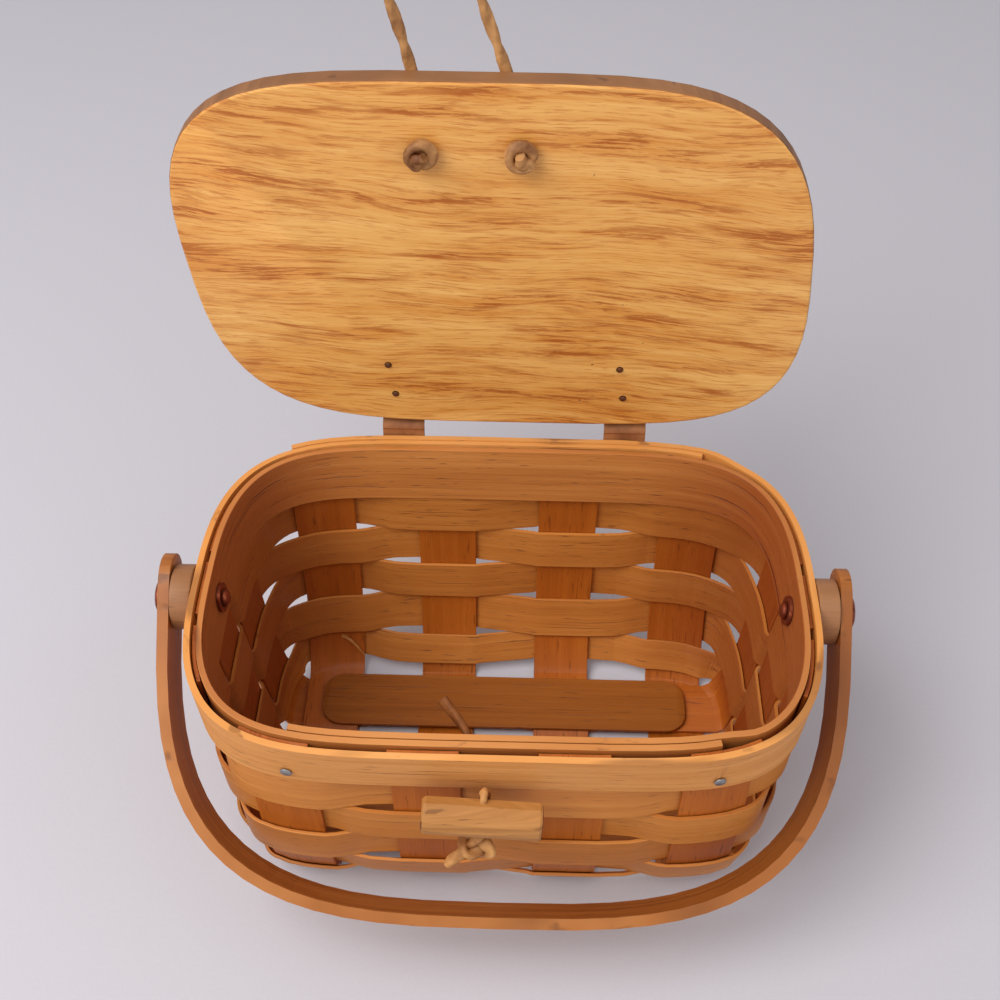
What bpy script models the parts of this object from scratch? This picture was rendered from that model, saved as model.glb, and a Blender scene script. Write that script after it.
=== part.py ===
"""A small lidded purse basket: woven wall, double rim, board lid on strap hinges, swing handle and peg clasp.

Metres, +Z up, +X to the right and +Y towards the hinges. The origin is on the table, under the middle of the rim.
The lid stands open and the handle hangs forward, as the basket was photographed.
"""

import math

import bmesh
import bpy
from mathutils import Matrix, Vector

MM = 0.001

# Clearances
GAP = 0.3 * MM
RUNNING_GAP = 0.35 * MM
CUT_OVERRUN = 2.0 * MM

# Wall: its middle surface, from the rim down to the lowest row's foot. Each line of shares holds a height as a
# share of the rim's, the half length and the half depth there as shares of the rim's, and how far the wall's
# middle stands back there as a share of the rim's half depth. The second line is the bottom of the bands.
RIM_HEIGHT = 95.4 * MM
RIM_HALF_LENGTH = 86.3 * MM
RIM_HALF_DEPTH = 54.8 * MM
WALL_SHARES = (
    (1.0, 1.0, 1.0, 0.0),
    (0.803, 0.976, 0.942, -0.008),
    (0.634, 0.956, 0.943, -0.015),
    (0.472, 0.941, 0.923, -0.021),
    (0.309, 0.926, 0.900, -0.028),
    (0.152, 0.899, 0.818, -0.034),
    (0.041, 0.873, 0.707, -0.039),
)
FOOT_LENGTH_POWER = 9.0
FOOT_DEPTH_POWER = 5.6
RIM_LENGTH_POWER = 5.2
RIM_DEPTH_POWER = 2.9

# Stakes: the splints that cross under the floor and stand up in the wall
STAKE_WIDTH = 18.8 * MM
STAKE_THICKNESS = 1.2 * MM
LONG_STAKE_COUNT = 3
CROSS_STAKE_COUNT = 4
LONG_PITCH_SHARE = 0.416
CROSS_PITCH_SHARE = 0.4565
STAKE_TOP_DROP = 2.0 * MM
FLOOR_BEND_REACH = 2.5 * MM
FLOOR_FLAT_REACH = 4.0 * MM
FLOOR_STEP_LENGTH = 6.0 * MM

# Weavers: the five rows that run round the wall
WEAVER_THICKNESS = 1.1 * MM
ROW_GAP = 0.5 * MM
LOWEST_ROW_GAP = 0.9 * MM

# Rim bands, each lapped over itself
BAND_THICKNESS = 1.8 * MM
INNER_BAND_RISE = 0.2 * MM
OUTER_BAND_DROP = 0.8 * MM
INNER_LAP_START = -56.0 * MM
INNER_LAP_END = 58.0 * MM
OUTER_LAP_START = -66.0 * MM
OUTER_LAP_END = 60.0 * MM
LAP_RAMP = 12.0 * MM

# Floor filler splints
FILLER_END_CLEARANCE = 12.8 * MM
FILLER_WIDTH = 20.5 * MM
FILLER_THICKNESS = 1.2 * MM
FILLER_PLACE_SHARES = (-0.58, 0.58)
FILLER_END_SHARE = 0.35

# Small nails in the front of the rim
NAIL_HEAD_RADIUS = 1.7 * MM
NAIL_HEAD_THICKNESS = 0.5 * MM
NAIL_RADIUS = 0.7 * MM
NAIL_FROM_STAKES = (3.1 * MM, -1.1 * MM)
NAIL_DROP = 14.0 * MM

# Lid board: its outline is a rounded oblong, skewed as the real one was sawn
LID_HALF_LENGTH = 88.0 * MM
LID_HALF_DEPTH = 57.4 * MM
LID_BACK_OVERHANG = 2.6 * MM
LID_LENGTH_POWER = 4.3
LID_DEPTH_POWER = 2.9
LID_SKEW_SHARE = -0.109
LID_SHIFT = -3.4 * MM
LID_THICKNESS = 6.35 * MM
LID_EDGE_BEVEL = 0.8 * MM
LID_REST_ANGLE = math.radians(92.4)

# Hinge straps, bent at the hinge line behind the rim
HINGE_LINE_RISE = 1.2 * MM
STRAP_WIDTH = 13.0 * MM
STRAP_THICKNESS = 1.4 * MM
STRAP_PLACES = (-33.1 * MM, 36.4 * MM)
STRAP_SLANT_SHARE = -0.15
STRAP_LID_LENGTH = 30.0 * MM
STRAP_BAND_LENGTH = 19.0 * MM
LID_TACK_DEPTHS = (11.3 * MM, 22.6 * MM)
BAND_TACK_DROPS = (7.5 * MM, 15.0 * MM)
TACK_RADIUS = 0.8 * MM
TACK_HEAD_RADIUS = 2.0 * MM
TACK_HEAD_THICKNESS = 0.7 * MM
TACK_END_RADIUS = 1.0 * MM

# Handle: a bent strip that swings on two rivets
PIVOT_DROP = 9.5 * MM
HANDLE_FRONT_CLEARANCE = 36.2 * MM
HANDLE_WIDTH = 16.0 * MM
HANDLE_THICKNESS = 3.2 * MM
HANDLE_ARCH_POWER = 3.2
HANDLE_EAR = 12.5 * MM
HANDLE_REST_DROP = math.radians(40.0)
SPACER_RADIUS = 9.5 * MM
SPACER_THICKNESS = 6.9 * MM
RIVET_RADIUS = 1.7 * MM
RIVET_HEAD_RADIUS = 5.8 * MM
RIVET_HEAD_HEIGHT = 1.8 * MM
BURR_RADIUS = 4.3 * MM
BURR_THICKNESS = 0.9 * MM
RIVET_PEEN_RADIUS = 2.8 * MM
RIVET_PEEN_HEIGHT = 1.3 * MM

# Peg clasp: a half-round peg on a lace that comes out between the two top rows and over the peg's top
PEG_LENGTH = 32.0 * MM
PEG_RADIUS = 5.6 * MM
PEG_BACK_SHARE = 0.55
PEG_PLACE = -3.6 * MM
PEG_DROP = 19.3 * MM
PEG_TILT = math.radians(5.0)
PEG_END_BEVEL = 1.5 * MM
LACE_RADIUS = 1.7 * MM
LACE_SLACK = 0.9 * MM
LACE_BEND = 2.5 * MM
PEG_KNOT_RADIUS = 4.8 * MM
PEG_KNOT_FORWARD = 1.5 * MM
PEG_KNOT_TAIL = (-6.0 * MM, -1.5 * MM, -7.0 * MM)
PEG_KNOT_TAIL_LENGTH = 9.0 * MM
LACE_TAIL_TIP = (-13.4 * MM, 26.6 * MM, 8.0 * MM)
LACE_TAIL_TURN = (-2.4 * MM, 10.6 * MM, 0.0)

# Lid loop: two holes, two knots and the free lace between them
LOOP_HOLE_PLACES = (-23.8 * MM, 2.2 * MM)
LOOP_EDGE_PLACES = (-26.5 * MM, -2.3 * MM)
LOOP_HOLE_DEPTH = 95.4 * MM
LOOP_LACE_RADIUS = 1.6 * MM
LOOP_REACH = 34.0 * MM
LOOP_LEAN = -7.0 * MM
LOOP_TOP_WIDTH = 22.0 * MM
LOOP_HOLE_BEND = 2.3 * MM
LOOP_KNOT_RADIUS = 4.8 * MM
LOOP_KNOT_SHARES = (1.0, 1.0, 0.8)
KNOT_FLAT_SHARE = 0.5

# Colours in linear light
SPLINT = (0.50, 0.22, 0.075)
STAKE_WOOD = (0.42, 0.16, 0.045)
BAND_WOOD = (0.58, 0.28, 0.10)
OAK = (0.66, 0.36, 0.13)
HANDLE_WOOD = (0.50, 0.22, 0.08)
SPACER_WOOD = (0.60, 0.34, 0.16)
STRAP_BROWN = (0.34, 0.15, 0.06)
LACE_TAN = (0.38, 0.22, 0.09)
COPPER = (0.20, 0.045, 0.025)
STEEL = (0.42, 0.42, 0.44)

# Mesh density
COLUMNS_ON_STAKE = 4
STEPS_IN_GAP = 4
STEPS_IN_CORNER = 9
BAND_STEPS = 96
BEND_STEPS = 4
END_STEPS = 5
LID_STEPS = 60
HANDLE_STEPS = 34
ROUND_SIDES = 20
SMALL_SIDES = 10
LACE_BEVEL_STEPS = 2
PATH_STEPS = 4
LACE_ELBOW_STEPS = 8

# Worked out from the sizes above
PIVOT_HEIGHT = RIM_HEIGHT - PIVOT_DROP
FLOOR_WEAVE = (STAKE_THICKNESS + GAP) / 2
FLOOR_MIDDLE = FLOOR_WEAVE + STAKE_THICKNESS / 2
FLOOR_TOP = FLOOR_MIDDLE + FLOOR_WEAVE + STAKE_THICKNESS / 2
WEAVE_OFFSET = STAKE_THICKNESS / 2 + GAP + WEAVER_THICKNESS / 2
BAND_OFFSET = STAKE_THICKNESS / 2 + GAP + BAND_THICKNESS / 2
BAND_FACE = BAND_OFFSET + BAND_THICKNESS / 2
LAP_OFFSET = BAND_OFFSET + BAND_THICKNESS + GAP
LAP_FACE = LAP_OFFSET + BAND_THICKNESS / 2
OUTER_BAND_TOP = RIM_HEIGHT - OUTER_BAND_DROP
WALL_HEIGHTS = [shares[0] * RIM_HEIGHT for shares in WALL_SHARES]
BAND_FOOT = WALL_HEIGHTS[1]
ROW_EDGES = WALL_HEIGHTS[1:]
FOOT_HALF_LENGTH = WALL_SHARES[-1][1] * RIM_HALF_LENGTH
FOOT_HALF_DEPTH = WALL_SHARES[-1][2] * RIM_HALF_DEPTH
FLOOR_CENTRE = WALL_SHARES[-1][3] * RIM_HALF_DEPTH
PEG_HEIGHT = RIM_HEIGHT - PEG_DROP
CROSS_PITCH = RIM_HALF_LENGTH * CROSS_PITCH_SHARE
LONG_PITCH = RIM_HALF_DEPTH * LONG_PITCH_SHARE
CROSS_PLACES = [(i - (CROSS_STAKE_COUNT - 1) / 2) * CROSS_PITCH for i in range(CROSS_STAKE_COUNT)]
LONG_PLACES = [FLOOR_CENTRE + (j - (LONG_STAKE_COUNT - 1) / 2) * LONG_PITCH for j in range(LONG_STAKE_COUNT)]
HALF_STAKE = STAKE_WIDTH / 2
LID_UNDERSIDE = RIM_HEIGHT + GAP
LID_TOP = LID_UNDERSIDE + LID_THICKNESS
HINGE_HEIGHT = RIM_HEIGHT + HINGE_LINE_RISE
LID_BACK = RIM_HALF_DEPTH + LID_BACK_OVERHANG
LID_DEPTH = 2 * LID_HALF_DEPTH
HANDLE_REACH = RIM_HALF_DEPTH + HANDLE_FRONT_CLEARANCE
FILLER_LENGTH = 2 * (FOOT_HALF_LENGTH - FILLER_END_CLEARANCE)


def clear_scene():
    for obj in list(bpy.data.objects):
        bpy.data.objects.remove(obj, do_unlink=True)


def make_material(name, colour, roughness, metallic=0.0):
    material = bpy.data.materials.new(name)
    material.use_nodes = True
    shader = material.node_tree.nodes["Principled BSDF"]
    shader.inputs["Base Color"].default_value = (*colour, 1.0)
    shader.inputs["Roughness"].default_value = roughness
    shader.inputs["Metallic"].default_value = metallic
    return material


def add_object(name, data, material=None, parent=None):
    """Links a shape whose points are in world space, keeping it there under its parent."""
    obj = bpy.data.objects.new(name, data)
    bpy.context.scene.collection.objects.link(obj)
    if material is not None:
        data.materials.append(material)
    if parent is not None:
        obj.parent = parent
        obj.matrix_parent_inverse = parent.matrix_basis.inverted()
    return obj


def add_axis(name, place):
    """An empty on a joint's axis, which the pieces that move together hang from."""
    empty = bpy.data.objects.new(name, None)
    bpy.context.scene.collection.objects.link(empty)
    empty.matrix_basis = Matrix.Translation(place)
    return empty


def finish_mesh(name, bm, sharp_angle=math.radians(35)):
    bmesh.ops.recalc_face_normals(bm, faces=bm.faces)
    mesh = bpy.data.meshes.new(name)
    bm.to_mesh(mesh)
    bm.free()
    mesh.shade_smooth()
    mesh.set_sharp_from_angle(angle=sharp_angle)
    return mesh


def add_thickness(obj, thickness):
    modifier = obj.modifiers.new("Thickness", "SOLIDIFY")
    modifier.thickness = thickness
    modifier.offset = 0.0


def add_cut(obj, cutter):
    modifier = obj.modifiers.new("Cut by " + cutter.name, "BOOLEAN")
    modifier.operation = "DIFFERENCE"
    modifier.solver = "EXACT"
    modifier.object = cutter


def sheet(name, rows, closed=False):
    """A sheet through rows of points: each row is a line across it, and closed joins the last row to the first."""
    bm = bmesh.new()
    lines = [[bm.verts.new(point) for point in row] for row in rows]
    following = lines[1:] + lines[:1] if closed else lines[1:]
    for here, there in zip(lines, following):
        for a, b, c, d in zip(here, here[1:], there[1:], there):
            bm.faces.new((a, b, c, d))
    return finish_mesh(name, bm)


def turned(name, profile, matrix, sides=ROUND_SIDES):
    """A solid turned about its own Z from (radius, height) points that start and end on the axis."""
    bm = bmesh.new()
    verts = [bm.verts.new((radius, 0.0, height)) for radius, height in profile]
    edges = [bm.edges.new(pair) for pair in zip(verts, verts[1:])]
    bmesh.ops.spin(
        bm, geom=verts + edges, cent=(0, 0, 0), axis=(0, 0, 1), angle=math.tau, steps=sides, use_merge=True
    )
    bmesh.ops.remove_doubles(bm, verts=bm.verts, dist=GAP / 100)
    bmesh.ops.transform(bm, matrix=matrix, verts=bm.verts)
    return finish_mesh(name, bm)


def ball(name, radii, matrix, flat=None):
    """A rounded lump, cut flat below this share of its height if one is given."""
    bm = bmesh.new()
    bmesh.ops.create_icosphere(bm, subdivisions=2, radius=1.0)
    if flat is not None:
        for vert in bm.verts:
            vert.co.z = max(vert.co.z, -flat)
    bmesh.ops.transform(bm, matrix=matrix @ Matrix.Diagonal((*radii, 1.0)), verts=bm.verts)
    return finish_mesh(name, bm, math.pi)


def prism(name, outline, x_from, x_to):
    """A solid with one outline of (y, z) points all along its length in X."""
    bm = bmesh.new()
    near = [bm.verts.new((x_from, y, z)) for y, z in outline]
    far = [bm.verts.new((x_to, y, z)) for y, z in outline]
    bm.faces.new(near)
    bm.faces.new(far)
    for a, b, c, d in zip(near, near[1:] + near[:1], far[1:] + far[:1], far):
        bm.faces.new((a, b, c, d))
    return finish_mesh(name, bm)


def lace(name, path, radius, material, parent=None):
    curve = bpy.data.curves.new(name, "CURVE")
    curve.dimensions = "3D"
    curve.bevel_depth = radius
    curve.bevel_resolution = LACE_BEVEL_STEPS
    curve.use_fill_caps = True
    spline = curve.splines.new("POLY")
    spline.points.add(len(path) - 1)
    for point, place in zip(spline.points, path):
        point.co = (*place, 1.0)
    return add_object(name, curve, material, parent)


def smooth_path(points, steps=PATH_STEPS):
    """A smooth curve through the points, as a list of places along it."""
    points = [Vector(point) for point in points]
    ends = [2 * points[0] - points[1], *points, 2 * points[-1] - points[-2]]
    path = []
    for before, here, there, after in zip(ends, ends[1:], ends[2:], ends[3:]):
        leave, arrive = (there - before) / 2, (after - here) / 2
        for i in range(steps):
            t = i / steps
            path.append(
                here * (1 + t * t * (2 * t - 3))
                + there * (t * t * (3 - 2 * t))
                + leave * (t * (1 - t) ** 2)
                + arrive * (t * t * (t - 1))
            )
    return path + [points[-1]]


def aim(axis, place):
    """The matrix that stands a turned solid at place with its Z along axis."""
    return Matrix.Translation(place) @ Vector(axis).to_track_quat("Z", "Y").to_matrix().to_4x4()


def rod(radius, start, end):
    """The profile of a plain rod between two heights on its axis."""
    return [(0, start), (radius, start), (radius, end), (0, end)]


def add_cutter(name, profile, matrix):
    cutter = add_object(name, turned(name, profile, matrix, SMALL_SIDES * 2))
    cutter.hide_render = True
    cutter.display_type = "WIRE"
    return cutter


def mix(a, b, share):
    return a + (b - a) * share


def ease(share):
    return share * share * (3 - 2 * share)


def signed_power(value, power):
    return math.copysign(abs(value) ** power, value)


# Wall surface


def wall_shares(z):
    """The line of shares at a height, mixed from the lines above and below it."""
    steps = list(zip(WALL_HEIGHTS, WALL_HEIGHTS[1:]))
    k = next((i for i, (_, lower) in enumerate(steps) if z >= lower), len(steps) - 1)
    share = max(z - steps[k][1], 0.0) / (steps[k][0] - steps[k][1])
    return [mix(low, high, share) for low, high in zip(WALL_SHARES[k + 1], WALL_SHARES[k])]


def wall_sizes(z):
    """Half length, half depth and corner powers of the wall's middle surface at a height."""
    _, length_share, depth_share, _ = wall_shares(z)
    rise = z / RIM_HEIGHT
    return (
        RIM_HALF_LENGTH * length_share,
        RIM_HALF_DEPTH * depth_share,
        mix(FOOT_LENGTH_POWER, RIM_LENGTH_POWER, rise),
        mix(FOOT_DEPTH_POWER, RIM_DEPTH_POWER, rise),
    )


def wall_centre(z):
    """How far back the middle of the wall's outline is at a height."""
    return RIM_HALF_DEPTH * wall_shares(z)[3]


def wall_point(turn, z, offset=0.0):
    """The wall's middle surface at an angle round the basket and a height, moved outwards by offset."""
    half_length, half_depth, length_power, depth_power = wall_sizes(z)
    x_share = signed_power(math.cos(turn), 2 / length_power)
    y_share = signed_power(math.sin(turn), 2 / depth_power)
    across = length_power / half_length * signed_power(x_share, length_power - 1)
    along = depth_power / half_depth * signed_power(y_share, depth_power - 1)
    normal = Vector((across, along, 0.0)).normalized()
    return Vector((half_length * x_share, wall_centre(z) + half_depth * y_share, z)) + normal * offset


def wall_strip(turn_foot, turn_top, foot, top, offset):
    """The two ends of a line up the wall, moved outwards square to it by offset."""
    ends = [wall_point(turn_foot, foot), wall_point(turn_top, top)]
    outwards = (wall_point(turn_top, top, 1.0) - ends[1]).normalized()
    slope = (ends[1] - ends[0]).dot(outwards) / (top - foot)
    return [end + outwards * offset * math.hypot(1.0, slope) for end in ends]


def wall_facing(turn, z):
    """The way the wall faces at an angle and a height, with its flare."""
    outwards = wall_point(turn, z, 1.0) - wall_point(turn, z)
    run = WALL_HEIGHTS[0] - WALL_HEIGHTS[1]
    rise = wall_point(turn, WALL_HEIGHTS[0]) - wall_point(turn, WALL_HEIGHTS[1])
    return (outwards - Vector((0, 0, rise.dot(outwards) / run))).normalized()


def turn_at_x(x, z, side):
    """The angle at which the back (side 1) or front (side -1) of the wall has this x."""
    half_length, _, length_power, _ = wall_sizes(z)
    return side * math.acos(signed_power(x / half_length, length_power / 2))


def turn_at_y(y, z, side):
    """The angle at which the right (side 1) or left (side -1) of the wall has this y."""
    _, half_depth, _, depth_power = wall_sizes(z)
    angle = math.asin(signed_power((y - wall_centre(z)) / half_depth, depth_power / 2))
    return angle if side > 0 else math.pi - angle


def stake_turns():
    """For each stake in order round the wall, a function of an offset along the wall and a height."""
    right = [lambda s, z, y=y: turn_at_y(y + s, z, 1) for y in LONG_PLACES]
    back = [lambda s, z, x=x: turn_at_x(x - s, z, 1) for x in reversed(CROSS_PLACES)]
    left = [lambda s, z, y=y: turn_at_y(y - s, z, -1) for y in reversed(LONG_PLACES)]
    front = [lambda s, z, x=x: turn_at_x(x + s, z, -1) + math.tau for x in CROSS_PLACES]
    return right + back + left + front


def stake_spread():
    return [mix(-HALF_STAKE, HALF_STAKE, i / COLUMNS_ON_STAKE) for i in range(COLUMNS_ON_STAKE + 1)]


# Weavers


def between_stakes(stake, following, lap, offsets, steps):
    """Stations from one stake's edge to the next stake's: (angle as a function of height, offset)."""
    stations = []
    for i in range(1, steps):
        share = i / steps

        def turn(z, share=share):
            return mix(stake(HALF_STAKE, z), following(-HALF_STAKE, z) + lap, share)

        stations.append((turn, mix(*offsets, ease(share))))
    return stations


def row_stations(even_outside):
    """Stations round one row, which passes outside the even stakes or inside them."""
    stakes = stake_turns()
    half_round = LONG_STAKE_COUNT + CROSS_STAKE_COUNT
    corners = [last + k * half_round for k in (0, 1) for last in (LONG_STAKE_COUNT - 1, half_round - 1)]
    stations = []
    for k, stake in enumerate(stakes):
        offset = WEAVE_OFFSET if (k % 2 == 0) == even_outside else -WEAVE_OFFSET
        for place in stake_spread():
            stations.append((lambda z, f=stake, s=place: f(s, z), offset))
        following = stakes[(k + 1) % len(stakes)]
        lap = math.tau if k + 1 == len(stakes) else 0.0
        steps = STEPS_IN_CORNER if k in corners else STEPS_IN_GAP
        stations += between_stakes(stake, following, lap, (offset, -offset), steps)
    return stations


def build_weavers(material):
    rows = []
    for row, (upper, lower) in enumerate(zip(ROW_EDGES, ROW_EDGES[1:])):
        top = upper - ROW_GAP / 2
        foot = lower + (ROW_GAP / 2 if lower > ROW_EDGES[-1] else LOWEST_ROW_GAP)
        lines = [
            wall_strip(turn(foot), turn(top), foot, top, offset) for turn, offset in row_stations(row % 2 == 0)
        ]
        name = f"weaver_row_{row + 1}"
        rows.append(add_object(name, sheet(name, lines, closed=True), material))
        add_thickness(rows[-1], WEAVER_THICKNESS)
    return rows


# Stakes


def wall_heights():
    """Heights in the wall part of a stake: the edges of the rows, then its end between the bands."""
    return ROW_EDGES[::-1] + [RIM_HEIGHT - STAKE_TOP_DROP]


def floor_path(crossings, sides, reach):
    """(place, height) along the floor: the stake lies under (side -1) or over (side 1) each one it crosses."""
    heights = [FLOOR_MIDDLE + side * FLOOR_WEAVE for side in sides]
    path = [(-reach[0], heights[0])]
    for k, next_place in enumerate(crossings[1:]):
        gap_start, gap_end = crossings[k] + HALF_STAKE, next_place - HALF_STAKE
        step = min(FLOOR_STEP_LENGTH, gap_end - gap_start)
        start = FLOOR_FLAT_REACH if gap_start < 0 < gap_end and step < gap_end - gap_start else gap_start
        for i in range(STEPS_IN_GAP + 1):
            share = i / STEPS_IN_GAP
            path.append((start + step * share, mix(heights[k], heights[k + 1], ease(share))))
    return path + [(reach[1], heights[-1])]


def stake_column(wall_at, crossings, sides):
    """(place, height) of one line along a stake, from its top in one wall to its top in the other."""
    reach = [abs(wall_at(ROW_EDGES[-1], way)) - FLOOR_BEND_REACH for way in (-1, 1)]
    halves = [[(wall_at(z, way), z) for z in wall_heights()] for way in (-1, 1)]
    return halves[0][::-1] + floor_path(crossings, sides, reach) + halves[1]


def build_stakes(material):
    across, along = [], []
    for i, place in enumerate(CROSS_PLACES):
        sides = [1 if (i + j) % 2 == 0 else -1 for j in range(len(LONG_PLACES))]
        columns = []
        for x in [place + s for s in stake_spread()]:
            path = stake_column(lambda z, side: wall_point(turn_at_x(x, z, side), z).y, LONG_PLACES, sides)
            columns.append([(x, y, z) for y, z in path])
        name = f"stake_across_{i + 1}"
        across.append(add_object(name, sheet(name, [list(row) for row in zip(*columns)]), material))
    for j, place in enumerate(LONG_PLACES):
        sides = [-1 if (i + j) % 2 == 0 else 1 for i in range(len(CROSS_PLACES))]
        columns = []
        for y in [place + s for s in stake_spread()]:
            path = stake_column(lambda z, side: wall_point(turn_at_y(y, z, side), z).x, CROSS_PLACES, sides)
            columns.append([(x, y, z) for x, z in path])
        name = f"stake_along_{j + 1}"
        along.append(add_object(name, sheet(name, [list(row) for row in zip(*columns)]), material))
    for stake in across + along:
        add_thickness(stake, STAKE_THICKNESS)
    return across, along


def build_fillers(material):
    """The splints that lie loose on the floor, with rounded ends."""
    corner = FILLER_WIDTH * FILLER_END_SHARE
    height = FLOOR_TOP + GAP + FILLER_THICKNESS / 2
    for k, share in enumerate(FILLER_PLACE_SHARES):
        place = FLOOR_CENTRE + share * FOOT_HALF_DEPTH
        ends = []
        for i in range(END_STEPS + 1):
            angle = math.radians(90) * i / END_STEPS
            x = FILLER_LENGTH / 2 - corner + corner * math.cos(angle)
            ends.append((x, FILLER_WIDTH / 2 - corner + corner * math.sin(angle)))
        stations = [(-x, half) for x, half in ends] + ends[::-1]
        rows = [[(x, place - half, height), (x, place + half, height)] for x, half in stations]
        name = f"floor_filler_{k + 1}"
        add_thickness(add_object(name, sheet(name, rows), material), FILLER_THICKNESS)


# Rim bands


def band_stations(lap_start, lap_end, side, level, face):
    """(angle, offset) along a band that starts on top of its own lap and ends under it."""
    start, end = turn_at_x(lap_start, level, side), turn_at_x(lap_end, level, side)
    ramp = turn_at_x(lap_end + LAP_RAMP, level, side)
    lap = -math.tau if side > 0 else math.tau
    stations = [(mix(start, end, i / STEPS_IN_CORNER), face * LAP_OFFSET) for i in range(STEPS_IN_CORNER)]
    for i in range(STEPS_IN_GAP + 1):
        share = i / STEPS_IN_GAP
        stations.append((mix(end, ramp, share), face * mix(LAP_OFFSET, BAND_OFFSET, ease(share))))
    for i in range(1, BAND_STEPS + 1):
        stations.append((mix(ramp, start + lap, i / BAND_STEPS), face * BAND_OFFSET))
    for i in range(1, STEPS_IN_CORNER + 1):
        stations.append((mix(start + lap, end + lap, i / STEPS_IN_CORNER), face * BAND_OFFSET))
    return stations


def build_band(name, material, foot, top, stations):
    rows = [wall_strip(turn, turn, foot, top, offset) for turn, offset in stations]
    band = add_object(name, sheet(name, rows), material)
    add_thickness(band, BAND_THICKNESS)
    return band


def build_bands(material):
    inner_stations = band_stations(INNER_LAP_START, INNER_LAP_END, -1, RIM_HEIGHT, -1)
    outer_stations = band_stations(OUTER_LAP_START, OUTER_LAP_END, 1, OUTER_BAND_TOP, 1)
    inner = build_band("inner_band", material, BAND_FOOT + INNER_BAND_RISE, RIM_HEIGHT, inner_stations)
    outer = build_band("outer_band", material, BAND_FOOT, OUTER_BAND_TOP, outer_stations)
    return inner, outer


def headed_pin(head_radius, head_height, radius, length):
    """The profile of a nail or tack whose head stands on zero and whose shank runs back from it."""
    edge = head_height / 3
    return [
        (0, -length),
        (radius, -length),
        (radius, 0),
        (head_radius, 0),
        (head_radius, edge),
        (head_radius - edge, head_height),
        (0, head_height),
    ]


def build_front_nails(material, outer, stakes):
    """One small nail at each end of the rim's front, through the outer band and a stake."""
    height = RIM_HEIGHT - NAIL_DROP
    length = GAP + BAND_THICKNESS + GAP + STAKE_THICKNESS
    for k, shift in enumerate(NAIL_FROM_STAKES):
        place = CROSS_PLACES[-k] + shift
        turn = turn_at_x(place, height, -1)
        matrix = aim(wall_facing(turn, height), wall_point(turn, height, BAND_FACE + GAP))
        profile = headed_pin(NAIL_HEAD_RADIUS, NAIL_HEAD_THICKNESS, NAIL_RADIUS, length)
        name = f"front_nail_{k + 1}"
        add_object(name, turned(name, profile, matrix, SMALL_SIDES), material)
        hole = add_cutter(name + "_hole", rod(NAIL_RADIUS + GAP, -length - CUT_OVERRUN / 4, CUT_OVERRUN), matrix)
        add_cut(outer, hole)
        add_cut(stakes[-k], hole)


# Lid, in its own frame: x along it, depth from its hinge edge, height above its inner face


def hinge_place():
    wall = wall_point(math.radians(90), HINGE_HEIGHT).y
    return Vector((0, wall + LAP_FACE + GAP + STRAP_THICKNESS / 2, HINGE_HEIGHT))


def lid_pose():
    place = hinge_place()
    return Matrix.Translation(place) @ Matrix.Rotation(-LID_REST_ANGLE, 4, "X") @ Matrix.Translation(-place)


def lid_at(x, depth, height):
    return lid_pose() @ Vector((x, LID_BACK - depth, LID_UNDERSIDE + height))


def lid_way(x, y, z):
    """A direction on the closed lid as it points with the lid open."""
    return lid_pose().to_3x3() @ Vector((x, y, z))


def build_lid(material, axis):
    bm = bmesh.new()
    outline = []
    for i in range(LID_STEPS):
        angle = math.tau * (i + 0.5) / LID_STEPS
        y = LID_HALF_DEPTH * signed_power(math.sin(angle), 2 / LID_DEPTH_POWER)
        x = LID_HALF_LENGTH * signed_power(math.cos(angle), 2 / LID_LENGTH_POWER)
        outline.append((x + LID_SHIFT - LID_SKEW_SHARE * y, y + LID_BACK - LID_HALF_DEPTH))
    faces = []
    for height in (LID_UNDERSIDE, LID_TOP):
        faces.append([bm.verts.new((x, y, height)) for x, y in outline])
        bm.faces.new(faces[-1])
    for a, b, c, d in zip(faces[0], faces[0][1:] + faces[0][:1], faces[1][1:] + faces[1][:1], faces[1]):
        bm.faces.new((a, b, c, d))
    bmesh.ops.transform(bm, matrix=lid_pose(), verts=bm.verts)
    lid = add_object("lid", finish_mesh("lid", bm), material, axis)
    bevel = lid.modifiers.new("Eased edge", "BEVEL")
    bevel.width = LID_EDGE_BEVEL
    bevel.segments = 2
    bevel.limit_method = "ANGLE"
    bevel.angle_limit = math.radians(60)
    return lid


def strap_x(place, depth):
    return place + STRAP_SLANT_SHARE * depth


def build_lid_leaf(name, place, material, axis):
    """The part of a strap that is tacked to the lid's outer face and comes over its edge to the hinge line."""
    hinge = hinge_place()
    lift = GAP + STRAP_THICKNESS / 2
    shoulder = Vector((0, LID_BACK + lift, LID_TOP))
    tip = hinge + (shoulder - hinge).normalized() * (STRAP_THICKNESS / 2 + GAP)
    turn = (0, LID_BACK - LID_EDGE_BEVEL, LID_TOP + lift)
    last = (0, LID_BACK - STRAP_LID_LENGTH, LID_TOP + lift)
    rows = []
    for point in (tip, shoulder, turn, last):
        x = strap_x(place, max(LID_BACK - point[1], 0.0))
        rows.append([lid_pose() @ Vector((x + s, point[1], point[2])) for s in (-STRAP_WIDTH / 2, STRAP_WIDTH / 2)])
    leaf = add_object(name, sheet(name, rows), material, axis)
    add_thickness(leaf, STRAP_THICKNESS)
    return leaf


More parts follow.
